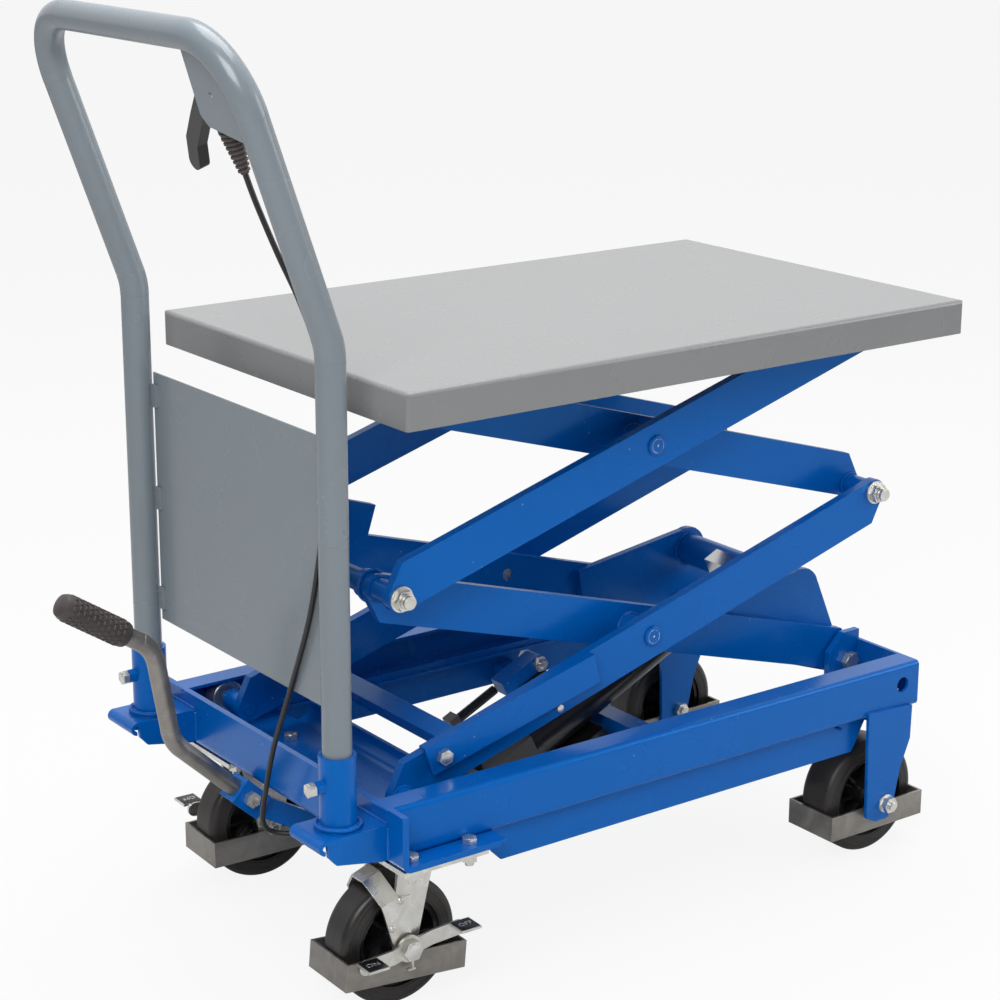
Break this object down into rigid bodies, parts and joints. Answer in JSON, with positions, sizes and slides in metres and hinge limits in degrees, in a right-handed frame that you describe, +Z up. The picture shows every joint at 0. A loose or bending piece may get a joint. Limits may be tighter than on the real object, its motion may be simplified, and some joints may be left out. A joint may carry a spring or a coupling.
{
  "type": "scissor lift table",
  "caption": "Wheeled double-scissor lift table with a foot-pumped hydraulic cylinder, swivel and fixed casters, toe guards and a tall push handle.",
  "frame": {"origin": "middle of the footprint's bounding box, on the floor under the wheels", "axes": "+Z up; +X along the table, from the push handle towards the fixed wheels; +Y across it"},
  "size_m": [1.096, 0.548, 1.1147],
  "materials": {
    "blue_paint": "semi-gloss",
    "grey_paint": "semi-gloss",
    "deck_paint": "semi-gloss",
    "black_paint": "semi-gloss",
    "zinc_plate": "zinc plated",
    "bare_steel": "bare",
    "dark_pads": "zinc plated with dark foot pads",
    "rod_chrome": "polished",
    "tyre_rubber": "satin",
    "core_plastic": "satin",
    "grip_rubber": "ribbed",
    "cable_sheath": "satin"
  },
  "bodies": {
    "chassis": {"side_rails": "blue_paint", "handle_end_plate": "blue_paint", "wheel_end_plate": "blue_paint", "handle_ears": "blue_paint", "handle_sockets": "blue_paint", "socket_bolts": "zinc_plate", "fixed_forks": "blue_paint", "fixed_axles": "zinc_plate", "fixed_toe_guards": "bare_steel", "caster_top_plates": "zinc_plate", "caster_bolts": "zinc_plate", "pivot_bolts": "zinc_plate", "handle_tube": "grey_paint", "handle_panel": "grey_paint", "cable_boot": "grip_rubber", "release_cable": "cable_sheath", "pump_body": "black_paint", "pump_mount": "blue_paint", "pump_link": "blue_paint", "cylinder_barrel": "black_paint"},
    "lower_inner": {"lower_inner_arms": "blue_paint", "lower_inner_tube": "blue_paint", "inner_arm_pins": "zinc_plate", "yoke": "blue_paint"},
    "lower_outer": {"lower_outer_arms": "blue_paint", "lower_outer_crossbar": "blue_paint", "outer_arm_fasteners": "zinc_plate"},
    "upper_outer": {"upper_outer_arms": "blue_paint", "upper_outer_crossbar": "blue_paint", "upper_arm_pins": "zinc_plate"},
    "upper_inner": {"upper_inner_arms": "blue_paint", "upper_inner_crossbar": "blue_paint"},
    "platform": {"platform": "deck_paint", "platform_tracks": "grey_paint"},
    "piston_rod": {"cylinder_rod": "rod_chrome"},
    "base_roller_near": {"base_roller_near": "zinc_plate"},
    "base_roller_far": {"base_roller_far": "zinc_plate"},
    "top_rollers": {"top_rollers": "zinc_plate"},
    "fixed_wheel_near": {"fixed_tyre_near": "tyre_rubber", "fixed_hub_near": "core_plastic"},
    "fixed_wheel_far": {"fixed_tyre_far": "tyre_rubber", "fixed_hub_far": "core_plastic"},
    "swivel_near": {"swivel_fork_near": "zinc_plate", "swivel_axle_near": "zinc_plate", "swivel_toe_guard_near": "bare_steel"},
    "swivel_far": {"swivel_fork_far": "zinc_plate", "swivel_axle_far": "zinc_plate", "swivel_toe_guard_far": "bare_steel"},
    "swivel_wheel_near": {"swivel_tyre_near": "tyre_rubber", "swivel_hub_near": "core_plastic"},
    "swivel_wheel_far": {"swivel_tyre_far": "tyre_rubber", "swivel_hub_far": "core_plastic"},
    "brake_near": {"brake_pedal_near": "dark_pads"},
    "brake_far": {"brake_pedal_far": "dark_pads"},
    "foot_lever": {"foot_lever": "blue_paint", "foot_lever_tube": "bare_steel", "foot_lever_bolt": "zinc_plate", "foot_lever_grip": "grip_rubber"},
    "release_trigger": {"release_trigger": "core_plastic"},
    "prop_bar": {"prop_bar": "blue_paint"}
  },
  "joints": [
    {"name": "lift", "type": "hinge", "parent": "chassis", "child": "lower_inner", "pos_m": [0.49601, 0, 0.232], "axis": [0, 1, 0], "range_deg": [-9, 25]},
    {"name": "lower_scissor", "type": "hinge", "parent": "lower_inner", "child": "lower_outer", "pos_m": [0.13092, 0, 0.35104], "axis": [0, 1, 0], "range_deg": [-50, 18]},
    {"name": "middle_pin", "type": "hinge", "parent": "lower_inner", "child": "upper_outer", "pos_m": [-0.23416, 0, 0.47009], "axis": [0, 1, 0], "range_deg": [-50, 18]},
    {"name": "upper_scissor", "type": "hinge", "parent": "upper_outer", "child": "upper_inner", "pos_m": [0.13092, 0, 0.58913], "axis": [0, 1, 0], "range_deg": [-18, 50]},
    {"name": "platform_pin", "type": "hinge", "parent": "upper_outer", "child": "platform", "pos_m": [0.49601, 0, 0.70818], "axis": [0, 1, 0], "range_deg": [-9, 25]},
    {"name": "piston", "type": "slide", "parent": "chassis", "child": "piston_rod", "axis": [0.9037, 0, 0.4281], "range_m": [-0.01894, 0.05262]},
    {"name": "base_roller_near_spin", "type": "hinge", "parent": "lower_outer", "child": "base_roller_near", "pos_m": [-0.23416, -0.2275, 0.232], "axis": [0, 1, 0], "continuous": true},
    {"name": "base_roller_far_spin", "type": "hinge", "parent": "lower_outer", "child": "base_roller_far", "pos_m": [-0.23416, 0.2275, 0.232], "axis": [0, 1, 0], "continuous": true},
    {"name": "top_rollers_spin", "type": "hinge", "parent": "upper_inner", "child": "top_rollers", "pos_m": [-0.23416, 0, 0.70818], "axis": [0, 1, 0], "continuous": true},
    {"name": "fixed_wheel_near_spin", "type": "hinge", "parent": "chassis", "child": "fixed_wheel_near", "pos_m": [0.46301, -0.2, 0.0762], "axis": [0, 1, 0], "continuous": true},
    {"name": "fixed_wheel_far_spin", "type": "hinge", "parent": "chassis", "child": "fixed_wheel_far", "pos_m": [0.46301, 0.2, 0.0762], "axis": [0, 1, 0], "continuous": true},
    {"name": "swivel_near_turn", "type": "hinge", "parent": "chassis", "child": "swivel_near", "pos_m": [-0.23899, -0.191, 0.18], "axis": [0, 0, 1], "continuous": true},
    {"name": "swivel_far_turn", "type": "hinge", "parent": "chassis", "child": "swivel_far", "pos_m": [-0.23899, 0.191, 0.18], "axis": [0, 0, 1], "continuous": true},
    {"name": "swivel_wheel_near_spin", "type": "hinge", "parent": "swivel_near", "child": "swivel_wheel_near", "pos_m": [-0.26399, -0.19056, 0.0762], "axis": [0.0175, 0.9998, 0], "continuous": true},
    {"name": "swivel_wheel_far_spin", "type": "hinge", "parent": "swivel_far", "child": "swivel_wheel_far", "pos_m": [-0.21401, 0.19013, 0.0762], "axis": [-0.0349, -0.9994, 0], "continuous": true},
    {"name": "brake_near_rock", "type": "hinge", "parent": "swivel_near", "child": "brake_near", "pos_m": [-0.26399, -0.19056, 0.0762], "axis": [0.0175, 0.9998, 0], "range_deg": [-8, 4]},
    {"name": "brake_far_rock", "type": "hinge", "parent": "swivel_far", "child": "brake_far", "pos_m": [-0.21401, 0.19013, 0.0762], "axis": [-0.0349, -0.9994, 0], "range_deg": [-8, 4]},
    {"name": "lever_press", "type": "hinge", "parent": "chassis", "child": "foot_lever", "pos_m": [0.01301, 0.046, 0.138], "axis": [0, -1, 0], "range_deg": [0, 20], "stiffness_Nm_per_rad": 12},
    {"name": "trigger_pull", "type": "hinge", "parent": "chassis", "child": "release_trigger", "pos_m": [-0.43342, -0.112, 1.0282], "axis": [0.9433, 0, 0.3321], "range_deg": [0, 14], "stiffness_Nm_per_rad": 0.5},
    {"name": "prop_swing", "type": "hinge", "parent": "lower_outer", "child": "prop_bar", "pos_m": [-0.18643, -0.182, 0.27596], "axis": [0, -1, 0], "range_deg": [0, 65]}
  ],
  "couplings": [
    {"joint": "lower_scissor", "follows": "lift", "ratio": -2},
    {"joint": "middle_pin", "follows": "lift", "ratio": -2},
    {"joint": "upper_scissor", "follows": "lift", "ratio": 2},
    {"joint": "platform_pin", "follows": "lift", "ratio": 1},
    {"joint": "piston", "follows": "lift", "m_per_rad": 0.1206}
  ]
}
